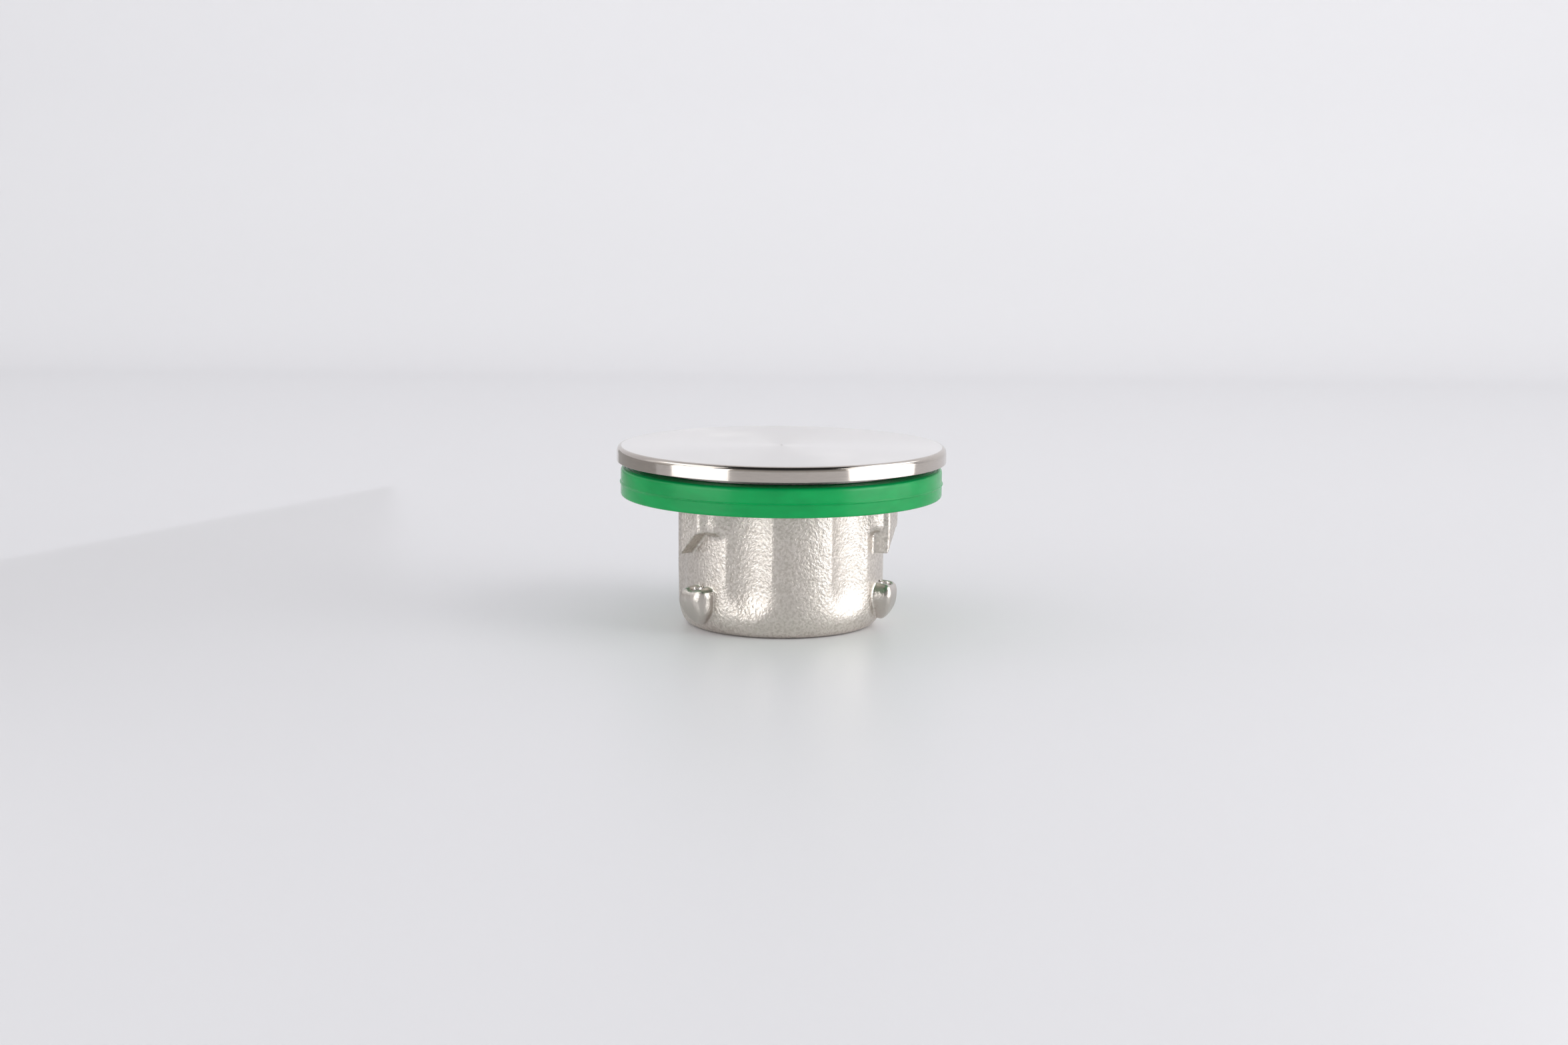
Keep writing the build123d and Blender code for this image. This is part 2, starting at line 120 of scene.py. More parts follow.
class RingSizes(bpy.types.PropertyGroup):
    """Sizes of the seal ring."""

    radius: FloatProperty(name="Radius", description="Outer radius of the ring's wall",
                          default=29.26 * MM, unit="LENGTH")
    lower_lip: FloatProperty(name="Lower lip", description="Inner radius of the lip under the flange",
                             default=22.4 * MM, unit="LENGTH")
    upper_lip: FloatProperty(name="Upper lip", description="Inner radius of the lip over the flange",
                             default=23.0 * MM, unit="LENGTH")
    ridge_pitch: FloatProperty(name="Ridge pitch", description="Distance between the ridges on top",
                               default=0.8 * MM, unit="LENGTH")
    ridge_depth: FloatProperty(name="Ridge depth", description="Depth of the valleys between the ridges",
                               default=0.25 * MM, unit="LENGTH")
    ridge_count: IntProperty(name="Ridges", description="Number of valleys", default=7)
    parting_height: FloatProperty(name="Parting line", description="Height of the mould's parting line",
                                  default=26.0 * MM, unit="LENGTH")


class CastingSizes(bpy.types.PropertyGroup):
    """Sizes of the cast cage and of its skin."""

    bore_radius: FloatProperty(name="Bore radius", description="Radius of the bore below the spider",
                               default=14.9 * MM, unit="LENGTH")
    guide_bore_radius: FloatProperty(name="Guide bore radius", description="Radius of the bore at the spider",
                                     default=15.3 * MM, unit="LENGTH")
    mouth_radius: FloatProperty(name="Mouth radius", description="Radius of the recess for the strainer",
                                default=15.4 * MM, unit="LENGTH")
    groove_radius: FloatProperty(name="Groove radius", description="Radius of the snap ring grooves",
                                 default=16.2 * MM, unit="LENGTH")
    flange_bottom: FloatProperty(name="Flange bottom", description="Height of the flange's underside",
                                 default=24.8 * MM, unit="LENGTH")
    pin_seat_radius: FloatProperty(name="Pin seat radius", description="Radius of the machined pin seats",
                                   default=1.17 * MM, unit="LENGTH")
    pin_seat_circle: FloatProperty(name="Pin seat circle", description="Radius of the circle of pin seats",
                                   default=19.9 * MM, unit="LENGTH")
    pin_seat_height: FloatProperty(name="Pin seat height", description="Height of the pin seats' centres",
                                   default=8.35 * MM, unit="LENGTH")
    skin_step: FloatProperty(name="Skin step", description="Size of the facets of the cast skin",
                             default=0.262 * MM, unit="LENGTH")
    grain_size: FloatProperty(name="Grain size", description="Size of the grain left by the mould",
                              default=0.75 * MM, unit="LENGTH")
    grain_height: FloatProperty(name="Grain height", description="Height of the grain left by the mould",
                                default=0.045 * MM, unit="LENGTH")


class InsertColours(bpy.types.PropertyGroup):
    """Colours of the metals, the polymers and the floor."""

    cast_steel: FloatVectorProperty(name="Cast steel", description="Light tone of the cast skin",
                                    default=(0.74, 0.69, 0.64), size=3, subtype="COLOR")
    cast_shade: FloatVectorProperty(name="Cast steel shade", description="Dark tone of the cast skin",
                                    default=(0.56, 0.515, 0.465), size=3, subtype="COLOR")
    face_steel: FloatVectorProperty(name="Face steel", description="Turned top of the disc",
                                    default=(0.90, 0.885, 0.87), size=3, subtype="COLOR")
    turned_steel: FloatVectorProperty(name="Turned steel", description="Machined faces",
                                      default=(0.76, 0.73, 0.70), size=3, subtype="COLOR")
    rim_steel: FloatVectorProperty(name="Rim steel", description="Polished rim of the disc",
                                   default=(0.58, 0.53, 0.485), size=3, subtype="COLOR")
    seal_green: FloatVectorProperty(name="Seal green", description="Moulded seal ring",
                                    default=(0.002, 0.36, 0.088), size=3, subtype="COLOR")
    bush_white: FloatVectorProperty(name="Bush white", description="Guide bushes and thrust washer",
                                    default=(0.78, 0.76, 0.68), size=3, subtype="COLOR")
    floor_grey: FloatVectorProperty(name="Floor", description="Studio floor",
                                    default=(0.83, 0.828, 0.843), size=3, subtype="COLOR")


class StageSizes(bpy.types.PropertyGroup):
    """Camera and studio around the insert."""

    azimuth: FloatProperty(name="Azimuth", description="Camera's turn about the axis",
                           default=radians(18), subtype="ANGLE")
    distance: FloatProperty(name="Distance", description="Camera's level distance from the axis",
                            default=464 * MM, unit="LENGTH")
    height: FloatProperty(name="Height", description="Camera's height over the floor",
                          default=92.2 * MM, unit="LENGTH")
    aim_height: FloatProperty(name="Aim height", description="Height that the camera looks at",
                              default=18.3 * MM, unit="LENGTH")
    aim_right: FloatProperty(name="Aim right", description="How far right of the axis it looks",
                             default=0.55 * MM, unit="LENGTH")
    roll: FloatProperty(name="Roll", description="Camera's roll", default=radians(0.5), subtype="ANGLE")
    sensor: FloatProperty(name="Sensor", description="Width of the sensor, in millimetres", default=36.0)
    lens: FloatProperty(name="Lens", description="Focal length, in millimetres", default=58.9)
    wall_distance: FloatProperty(name="Wall distance", description="From the axis back to the wall",
                                 default=540 * MM, unit="LENGTH")
    floor_drop: FloatProperty(name="Floor drop", description="How far the floor lies below the foot",
                              default=0.04 * MM, unit="LENGTH")


# ---------------------------------------------------------------- material helpers


def add_node(tree, kind, **settings):
    """New node with its properties set."""
    node = tree.nodes.new(kind)
    for name, value in settings.items():
        setattr(node, name, value)
    return node


def new_finish(name, colour, metallic, roughness):
    """New material with its uniform values on the shader's own sockets."""
    finish = bpy.data.materials.new(name)
    finish.use_nodes = True
    shader = finish.node_tree.nodes["Principled BSDF"]
    shader.inputs["Base Color"].default_value = (*colour, 1.0)
    shader.inputs["Metallic"].default_value = metallic
    shader.inputs["Roughness"].default_value = roughness
    return finish, finish.node_tree, shader


def place_of(tree, scale=(1.0, 1.0, 1.0)):
    """Object coordinates, stretched by the scale."""
    place = add_node(tree, "ShaderNodeTexCoord")
    mapping = add_node(tree, "ShaderNodeMapping")
    mapping.inputs["Scale"].default_value = scale
    tree.links.new(place.outputs["Object"], mapping.inputs["Vector"])
    return mapping.outputs["Vector"]


def noise_of(tree, place, size, detail=2.0, roughness=0.5, distortion=0.0):
    """Noise with features of about that size, in metres."""
    noise = add_node(tree, "ShaderNodeTexNoise")
    tree.links.new(place, noise.inputs["Vector"])
    noise.inputs["Scale"].default_value = 1.0 / size
    noise.inputs["Detail"].default_value = detail
    noise.inputs["Roughness"].default_value = roughness
    noise.inputs["Distortion"].default_value = distortion
    return noise.outputs["Fac"]


def spread(tree, value, low, high, to_low, to_high):
    """Value remapped from low..high to to_low..to_high, clamped."""
    node = add_node(tree, "ShaderNodeMapRange")
    tree.links.new(value, node.inputs["Value"])
    for name, number in (("From Min", low), ("From Max", high), ("To Min", to_low), ("To Max", to_high)):
        node.inputs[name].default_value = number
    return node.outputs["Result"]


def mixed(tree, factor, first, second):
    """Colour between two tones or sockets."""
    node = add_node(tree, "ShaderNodeMix", data_type="RGBA")
    tree.links.new(factor, node.inputs["Factor"])
    for socket, tone in ((node.inputs[6], first), (node.inputs[7], second)):
        if isinstance(tone, bpy.types.NodeSocket):
            tree.links.new(tone, socket)
        else:
            socket.default_value = (*tone, 1.0)
    return node.outputs[2]


def summed(tree, first, second, share):
    """Value of the first socket plus a share of the second's."""
    node = add_node(tree, "ShaderNodeMath", operation="MULTIPLY_ADD")
    tree.links.new(second, node.inputs[0])
    node.inputs[1].default_value = share
    tree.links.new(first, node.inputs[2])
    return node.outputs["Value"]


def blended(tree, factor, first, number):
    """Value that goes from the first socket to a number."""
    node = add_node(tree, "ShaderNodeMix", data_type="FLOAT")
    tree.links.new(factor, node.inputs["Factor"])
    tree.links.new(first, node.inputs[2])
    node.inputs[3].default_value = number
    return node.outputs[0]


def relief(tree, shader, height, depth, strength=1.0):
    """Bump from a height of 0..1 that is worth that depth, in metres."""
    node = add_node(tree, "ShaderNodeBump")
    node.inputs["Strength"].default_value = strength
    node.inputs["Distance"].default_value = depth
    tree.links.new(height, node.inputs["Height"])
    tree.links.new(node.outputs["Normal"], shader.inputs["Normal"])


def darker(tone, share):
    """Tone scaled towards black."""
    return tuple(part * share for part in tone)


def ramp(value, low, high):
    """0 below low, 1 above high and a smooth rise between them."""
    share = min(max((value - low) / (high - low), 0.0), 1.0)
    return share * share * (3.0 - 2.0 * share)


# ---------------------------------------------------------------- finishes


def cast_skin(colours):
    """Cast steel: fine wrinkled pebbles, warm grey, darker in its hollows, worn smooth on the lugs' noses."""
    pebble_size, fine_size, patch_size = 0.48 * MM, 0.22 * MM, 4.5 * MM
    fine_share, relief_depth = 0.2, 0.115 * MM
    worn_roughness, worn_height, most_worn = 0.29, 0.5, 0.45
    finish, tree, shader = new_finish("cast_skin", colours.cast_steel, 1.0, 0.36)
    place = place_of(tree)
    burnish = add_node(tree, "ShaderNodeAttribute", attribute_name="burnished").outputs["Fac"]
    pebbles = noise_of(tree, place, pebble_size, detail=2.0, roughness=0.5, distortion=0.35)
    fine = noise_of(tree, place, fine_size, detail=2.0)
    height = summed(tree, pebbles, fine, fine_share)
    patches = noise_of(tree, place, patch_size, detail=3.0)
    hollows = spread(tree, pebbles, 0.35, 0.6, 0.0, 1.0)
    tone = mixed(tree, hollows, colours.cast_shade, colours.cast_steel)
    patchy = spread(tree, patches, 0.4, 0.75, 0.0, 0.35)
    skin = mixed(tree, patchy, tone, darker(colours.cast_steel, 0.86))
    tree.links.new(mixed(tree, burnish, skin, darker(colours.cast_steel, 0.8)), shader.inputs["Base Color"])
    gloss = spread(tree, fine, 0.3, 0.7, 0.33, 0.43)
    tree.links.new(blended(tree, burnish, gloss, worn_roughness), shader.inputs["Roughness"])
    worn = spread(tree, burnish, 0.0, 1.0, 0.0, most_worn)
    relief(tree, shader, blended(tree, worn, height, worn_height), relief_depth)
    return finish


def machined_steel(name, colour, roughness, grain=(1.0, 1.0, 14.0)):
    """Cut steel with fine tool marks, drawn out across the grain's long axis."""
    mark_size, mark_depth = 0.6 * MM, 0.006 * MM
    finish, tree, shader = new_finish(name, colour, 1.0, roughness)
    place = place_of(tree, grain)
    marks = noise_of(tree, place, mark_size, detail=3.0)
    tone = spread(tree, marks, 0.3, 0.7, 0.0, 1.0)
    tree.links.new(mixed(tree, tone, darker(colour, 0.86), colour), shader.inputs["Base Color"])
    gloss = spread(tree, marks, 0.3, 0.7, roughness * 0.8, roughness * 1.25)
    tree.links.new(gloss, shader.inputs["Roughness"])
    relief(tree, shader, marks, mark_depth, 0.5)
    return finish


def turned_face(colours):
    """Lathe-turned face: fine rings that spread highlights into a fan about the centre."""
    rings_scale, ring_depth, smear_size = 900.0, 0.0015 * MM, 7.0 * MM
    finish, tree, shader = new_finish("turned_face", colours.face_steel, 1.0, 0.24)
    shader.inputs["Anisotropic"].default_value = 0.75
    shader.inputs["Anisotropic Rotation"].default_value = 0.25
    tangent = add_node(tree, "ShaderNodeTangent", direction_type="RADIAL", axis="Z")
    tree.links.new(tangent.outputs["Tangent"], shader.inputs["Tangent"])
    place = place_of(tree)
    rings = add_node(tree, "ShaderNodeTexWave", wave_type="RINGS", rings_direction="Z")
    tree.links.new(place, rings.inputs["Vector"])
    rings.inputs["Scale"].default_value = rings_scale
    rings.inputs["Distortion"].default_value = 0.4
    rings.inputs["Detail"].default_value = 1.0
    smears = noise_of(tree, place, smear_size, detail=3.0)
    tone = spread(tree, smears, 0.3, 0.7, 0.0, 1.0)
    tree.links.new(
        mixed(tree, tone, darker(colours.face_steel, 0.95), colours.face_steel), shader.inputs["Base Color"]
    )
    tree.links.new(spread(tree, smears, 0.3, 0.7, 0.21, 0.27), shader.inputs["Roughness"])
    relief(tree, shader, rings.outputs["Fac"], ring_depth, 0.35)
    return finish


def bright_rim(colours):
    """Fine-turned edge, close to a polish."""
    streak_size, streak_depth = 1.6 * MM, 0.002 * MM
    finish, tree, shader = new_finish("bright_rim", colours.rim_steel, 1.0, 0.1)
    place = place_of(tree, (1.0, 1.0, 12.0))
    streaks = noise_of(tree, place, streak_size, detail=3.0)
    tree.links.new(spread(tree, streaks, 0.3, 0.7, 0.07, 0.14), shader.inputs["Roughness"])
    tone = spread(tree, streaks, 0.3, 0.7, 0.0, 1.0)
    tree.links.new(
        mixed(tree, tone, darker(colours.rim_steel, 0.9), colours.rim_steel), shader.inputs["Base Color"]
    )
    relief(tree, shader, streaks, streak_depth, 0.4)
    return finish


def moulded_green(colours):
    """Smooth moulded polymer with a faint flow of tone."""
    flow_size, flow_depth, skin_size, glow_depth = 6.0 * MM, 0.02 * MM, 0.5 * MM, 0.8 * MM
    finish, tree, shader = new_finish("moulded_green", colours.seal_green, 0.0, 0.27)
    shader.inputs["Specular IOR Level"].default_value = 0.28
    shader.inputs["Subsurface Weight"].default_value = 0.12
    shader.inputs["Subsurface Radius"].default_value = (0.2, 1.0, 0.4)
    shader.inputs["Subsurface Scale"].default_value = glow_depth
    place = place_of(tree, (1.0, 1.0, 2.5))
    flow = noise_of(tree, place, flow_size, detail=2.0)
    skin = noise_of(tree, place_of(tree), skin_size, detail=3.0)
    tone = spread(tree, flow, 0.3, 0.7, 0.0, 1.0)
    tree.links.new(
        mixed(tree, tone, darker(colours.seal_green, 0.9), darker(colours.seal_green, 1.08)),
        shader.inputs["Base Color"],
    )
    tree.links.new(spread(tree, skin, 0.3, 0.7, 0.22, 0.25), shader.inputs["Roughness"])
    relief(tree, shader, flow, flow_depth, 0.3)
    return finish


def plain_polymer(name, colour, roughness):
    """Machined or moulded polymer with a fine skin."""
    skin_size, skin_depth = 0.4 * MM, 0.01 * MM
    finish, tree, shader = new_finish(name, colour, 0.0, roughness)
    skin = noise_of(tree, place_of(tree), skin_size, detail=3.0)
    tone = spread(tree, skin, 0.3, 0.7, 0.0, 1.0)
    tree.links.new(mixed(tree, tone, darker(colour, 0.85), colour), shader.inputs["Base Color"])
    gloss = spread(tree, skin, 0.3, 0.7, roughness * 0.85, roughness * 1.15)
    tree.links.new(gloss, shader.inputs["Roughness"])
    relief(tree, shader, skin, skin_depth, 0.5)
    return finish


def studio_floor(colours):
    """Satin white table."""
    finish, _, shader = new_finish("studio_floor", colours.floor_grey, 0.0, 0.42)
    shader.inputs["Specular IOR Level"].default_value = 0.35
    return finish


# ---------------------------------------------------------------- mesh helpers


def piece_from(name, bm, finishes, body, slot, *nodes):
    """Object from a bmesh that rides a body and stands for CAD nodes."""
    mesh = bpy.data.meshes.new(name)
    bm.to_mesh(mesh)
    bm.free()
    return piece_of_mesh(name, mesh, finishes, body, slot, *nodes)


def piece_of_mesh(name, mesh, finishes, body, slot, *nodes):
    """Object from a finished mesh that rides a body and stands for CAD nodes."""
    mesh.name = name
    piece = bpy.data.objects.new(name, mesh)
    bpy.context.scene.collection.objects.link(piece)
    for finish in finishes:
        mesh.materials.append(finish)
    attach(piece, body)
    if nodes:
        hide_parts(*nodes)
    return piece


def even_normals(piece):
    """Lets the large faces set the shading beside narrow rounded edges."""
    modifier = piece.modifiers.new("even normals", "WEIGHTED_NORMAL")
    modifier.keep_sharp = True


def spun(outline, steps=256, closed=True, merge_distance=1e-7):
    """Bmesh of an outline of (radius, height) pairs turned about the axis."""
    bm = bmesh.new()
    corners = [bm.verts.new((radius, 0.0, height)) for radius, height in outline]
    links = list(zip(corners, corners[1:]))
    if closed:
        links.append((corners[-1], corners[0]))
    sides = [bm.edges.new(pair) for pair in links]
    bmesh.ops.spin(bm, geom=corners + sides, cent=(0, 0, 0), axis=(0, 0, 1), angle=FULL_TURN,
                   steps=steps, use_merge=True)
    bmesh.ops.remove_doubles(bm, verts=bm.verts, dist=merge_distance)
    bmesh.ops.recalc_face_normals(bm, faces=bm.faces)
    for face in bm.faces:
        face.smooth = True
    return bm


def round_corners(bm, offset, segments=3, over=radians(20)):
    """Bevels the edges that turn by more than the angle."""
    sharp = [edge for edge in bm.edges if edge.is_manifold and edge.calc_face_angle(0.0) > over]
    bmesh.ops.bevel(bm, geom=sharp, offset=offset, offset_type="OFFSET", segments=segments, profile=0.5,
                    affect="EDGES", clamp_overlap=True, material=-1, loop_slide=True)
    for face in bm.faces:
        face.smooth = True


def baked(piece):
    """Mesh of a piece with its modifiers applied; the piece itself is removed."""
    depsgraph = bpy.context.evaluated_depsgraph_get()
    mesh = bpy.data.meshes.new_from_object(piece.evaluated_get(depsgraph))
    bpy.data.objects.remove(piece)
    return mesh


def loose_object(name, bm, finish=None):
    """Plain object: a tool or a blank that a piece is made with, or a part of the stage."""
    mesh = bpy.data.meshes.new(name)
    bm.to_mesh(mesh)
    bm.free()
    if finish:
        mesh.materials.append(finish)
    loose = bpy.data.objects.new(name, mesh)
    bpy.context.scene.collection.objects.link(loose)
    return loose


# ---------------------------------------------------------------- operators


class INSERT_OT_disc(bpy.types.Operator):
    """Lift disc: turned plate with a rounded edge, a seat land and a threaded boss"""

    bl_idname = "insert.disc"
    bl_label = "Lift disc"

    def execute(self, context):
        sizes, colours = context.scene.insert_disc, context.scene.insert_colours
        top, boss_bottom = disc_high.z, disc_low.z
        bottom = top - sizes.thickness
        seat_play = 0.05 * MM
        land_bottom = ring_high.z + seat_play
        edge_bottom = top - sizes.edge_height
        thread_radius, thread_top = 2.5 * MM, boss_bottom + 4.2 * MM
        # Two rings across the flat top keep its facets short.
        inner_ring, outer_ring = 10 * MM, 20 * MM
        outline = [
            (0.0, top - sizes.mark_depth),
            (sizes.mark_radius, top),
            (inner_ring, top),
            (outer_ring, top),
        ]
        for index in range(sizes.edge_steps + 1):
            turn = index / sizes.edge_steps * pi / 2
            outline.append((sizes.radius - sizes.edge_width * (1.0 - sin(turn)),
                            edge_bottom + sizes.edge_height * cos(turn)))
        outline += [
            (sizes.radius, bottom),
            (sizes.land_outer, bottom),
            (sizes.land_outer, land_bottom),
            (sizes.land_inner, land_bottom),
            (sizes.land_inner, bottom),
            (sizes.boss_radius, bottom),
            (sizes.boss_radius, boss_bottom),
            (thread_radius, boss_bottom),
            (thread_radius, thread_top),
            (0.0, thread_top),
        ]
        bm = spun(outline, closed=False)
        face_finish, rim_finish, shaded_back_finish = 0, 1, 2
        face_bottom = top - 0.5 * MM
        flat_radius = sizes.radius - sizes.edge_width
        for face in bm.faces:
            centre = face.calc_center_median()
            if centre.xy.length > flat_radius:
                face.material_index = rim_finish
            elif centre.z > face_bottom and centre.xy.length < flat_radius:
                face.material_index = face_finish
            else:
                face.material_index = shaded_back_finish
        round_corners(bm, 0.07 * MM)
        # The disc's back is painted much darker than the turned steel: painted shade for the dark gap between
        # the disc and the seal ring.
        back = machined_steel("turned_back", darker(colours.turned_steel, 0.4), 0.3)
        finishes = (turned_face(colours), bright_rim(colours), back)
        even_normals(piece_from("lift_disc", bm, finishes, "valve", "turned_stainless", "disc"))
        return {"FINISHED"}


class INSERT_OT_seal_ring(bpy.types.Operator):
    """Seal ring: moulded ring with a parting line and a ridged top, snapped over the flange"""

    bl_idname = "insert.seal_ring"
    bl_label = "Seal ring"

    def execute(self, context):
        sizes, colours = context.scene.insert_ring, context.scene.insert_colours
        bottom, top = ring_low.z, ring_high.z
        play = 0.02 * MM
        flange = cage_high.x + play
        flange_bottom = context.scene.insert_casting.flange_bottom - play
        flange_top = cage_high.z + play
        half_flash, half_valley, first_valley = 0.16 * MM, 0.2 * MM, 0.7 * MM
        ridges = []
        for index in range(sizes.ridge_count):
            valley = sizes.upper_lip + first_valley + index * sizes.ridge_pitch
            ridges.append((valley - half_valley, top))
            ridges.append((valley, top - sizes.ridge_depth))
            ridges.append((valley + half_valley, top))
        outline = [
            (sizes.lower_lip, bottom),
            (sizes.radius - 0.3 * MM, bottom),
            (sizes.radius - 0.09 * MM, bottom + 0.09 * MM),
            (sizes.radius, bottom + 0.3 * MM),
            (sizes.radius, sizes.parting_height - half_flash),
            (ring_high.x, sizes.parting_height),
            (sizes.radius, sizes.parting_height + half_flash),
            (sizes.radius, top - 0.7 * MM),
            (sizes.radius - 0.06 * MM, top - 0.4 * MM),
            (sizes.radius - 0.22 * MM, top - 0.18 * MM),
            (sizes.radius - 0.45 * MM, top - 0.05 * MM),
            (sizes.radius - 0.7 * MM, top),
        ]
        outline += reversed(ridges)
        outline += [
            (sizes.upper_lip, top),
            (sizes.upper_lip, flange_top),
            (flange, flange_top),
            (flange, flange_bottom),
            (sizes.lower_lip, flange_bottom),
        ]
        bm = spun(outline)
        round_corners(bm, 0.08 * MM, segments=2)
        finishes = (moulded_green(colours),)
        even_normals(piece_from("green_seal_ring", bm, finishes, "cage", "green_seal", "seal_ring"))
        return {"FINISHED"}


class INSERT_OT_casting(bpy.types.Operator):
    """Cast cage: barrel with flutes and lugs in a pebbled cast skin, bored and grooved by machine"""

    bl_idname = "insert.casting"
    bl_label = "Cast cage"

    def execute(self, context):
        sizes, colours = context.scene.insert_casting, context.scene.insert_colours
        skin = cast_skin(colours)
        bored = machined_steel("bored_steel", colours.turned_steel, 0.3)
        seat = machined_steel("milled_seat", colours.turned_steel, 0.16, (1.0, 1.0, 1.0))
        blank = self.cast_blank(sizes, skin)
        self.grain(sizes, blank)
        self.cut(blank, self.bore_tool(sizes, bored))
        self.cut(blank, self.pin_seat_tool(sizes, seat))
        mesh = baked(blank)
        mesh.set_sharp_from_angle(angle=radians(45))
        for corner in mesh.vertices:
            corner.co.z = max(corner.co.z, 0.0)
        piece_of_mesh("cast_barrel", mesh, (), "cage", "cast_stainless", "cage_casting")
        self.flange(sizes, bored)
        return {"FINISHED"}

    def cast_blank(self, sizes, skin):
        """The CAD casting below its flange, bore filled, as an even skin of small facets."""
        bm = bmesh.new()
        bm.from_mesh(frame["nodes"]["cage_casting"].data)
        bmesh.ops.remove_doubles(bm, verts=bm.verts, dist=WELD)
        cut = bmesh.ops.bisect_plane(bm, geom=bm.verts[:] + bm.edges[:] + bm.faces[:],
                                     plane_co=(0, 0, sizes.flange_bottom - SEAM), plane_no=(0, 0, 1),
                                     clear_outer=True)
        rim = [item for item in cut["geom_cut"] if isinstance(item, bmesh.types.BMEdge)]
        bmesh.ops.edgeloop_fill(bm, edges=rim)
        plug_margin, plug_inset, plug_lift = 0.3 * MM, 0.25 * MM, 0.1 * MM
        plug_radius = sizes.groove_radius + plug_margin
        plug_height = sizes.flange_bottom - plug_inset
        plug_place = Matrix.Translation((0, 0, plug_height / 2))
        bmesh.ops.create_cone(bm, cap_ends=True, segments=96, radius1=plug_radius, radius2=plug_radius,
                              depth=plug_height - plug_lift, matrix=plug_place)
        bmesh.ops.recalc_face_normals(bm, faces=bm.faces)
        blank = loose_object("cast_blank", bm, skin)
        remesh = blank.modifiers.new("skin", "REMESH")
        remesh.mode = "VOXEL"
        remesh.voxel_size = sizes.skin_step
        remesh.use_smooth_shade = True
        soften = blank.modifiers.new("soften", "SMOOTH")
        soften.factor = 0.5
        soften.iterations = 3
        mesh = baked(blank)
        mesh.name = "cast_blank"
        blank = bpy.data.objects.new("cast_blank", mesh)
        bpy.context.scene.collection.objects.link(blank)
        return blank

    def grain(self, sizes, blank):
        """Rounds the blends between lugs, flutes and barrel, then raises the grain of the mould."""
        places = [vertex.co.copy() for vertex in blank.data.vertices]
        for label, share_at, swell, iterations in (
            ("noses", self.nose_share, 0.34 * MM, 20),
            ("shelf ends", self.shelf_end_share, 0.0, 75),
            ("flute feet", self.flute_foot_share, 0.0, 220),
        ):
            self.weigh(blank, label, [share_at(place) for place in places])
            if swell:
                fill = blank.modifiers.new("fill " + label, "DISPLACE")
                fill.strength = swell
                fill.mid_level = 0.0
                fill.vertex_group = label
            soften = blank.modifiers.new(label, "SMOOTH")
            soften.factor = 0.5
            soften.iterations = iterations
            soften.vertex_group = label
        worn = [self.nose_share(place) for place in places]
        worn_away = 0.75
        self.weigh(blank, "pebbled", [1.0 - worn_away * share for share in worn])
        for label, size, height in (("grain", sizes.grain_size, sizes.grain_height),
                                    ("waves", 2.6 * MM, 0.05 * MM)):
            texture = bpy.data.textures.new("cast " + label, "CLOUDS")
            texture.noise_scale = size
            texture.noise_depth = 1
            raise_skin = blank.modifiers.new(label, "DISPLACE")
            raise_skin.texture = texture
            raise_skin.texture_coords = "LOCAL"
            raise_skin.strength = height
            raise_skin.mid_level = 0.5
            raise_skin.vertex_group = "pebbled"
        blank.data.attributes.new("burnished", "FLOAT", "POINT").data.foreach_set("value", worn)

    def weigh(self, blank, name, shares):
        """Vertex group with a share for each vertex."""
        group = blank.vertex_groups.new(name=name)
        for index, share in enumerate(shares):
            if share > 0.0:
                group.add([index], share, "REPLACE")

    def turn_from_lug(self, place):
        """Turn in degrees from the nearest lug to a place, between -60 and 60."""
        return (degrees(atan2(place.y, place.x)) + 60.0) % 120.0 - 60.0

    def nose_share(self, place):
        """1 on the seat lugs, 0 on the barrel, and between them around the lugs' feet."""
        beyond_barrel = ramp(place.xy.length, 18.7 * MM, 19.3 * MM)
        above_lug = ramp(place.z, 8.6 * MM, 9.4 * MM)
        return beyond_barrel * (1.0 - above_lug)

    def shelf_end_share(self, place):
        """1 where the shelves run out into the flutes."""
        turn = self.turn_from_lug(place)
        off_lug = max(ramp(turn, 4.0, 8.0), ramp(-turn, 9.5, 12.5))
        near_lug = 1.0 - ramp(abs(turn), 28.0, 33.0)
        high = ramp(place.z, 17.2 * MM, 18.2 * MM)
        outside = ramp(place.xy.length, 16.8 * MM, 17.1 * MM)
        return off_lug * near_lug * high * outside

    def flute_foot_share(self, place):
        """1 where the flutes fade out over the foot."""
        off_lug = ramp(abs(self.turn_from_lug(place)), 13.0, 17.0)
        low = 1.0 - ramp(place.z, 5.5 * MM, 10.5 * MM)
        off_foot = ramp(place.z, 0.7 * MM, 1.8 * MM)
        outside = ramp(place.xy.length, 16.6 * MM, 16.9 * MM)
        return off_lug * (low * off_foot) * outside

    def cut(self, blank, tool):
        """Takes the tool's shape out of the blank, keeping the tool's finish on the cut."""
        cut = blank.modifiers.new(tool.name, "BOOLEAN")
        cut.operation = "DIFFERENCE"
        cut.solver = "EXACT"
        cut.object = tool
        cut.material_mode = "TRANSFER"
        tool.hide_render = True

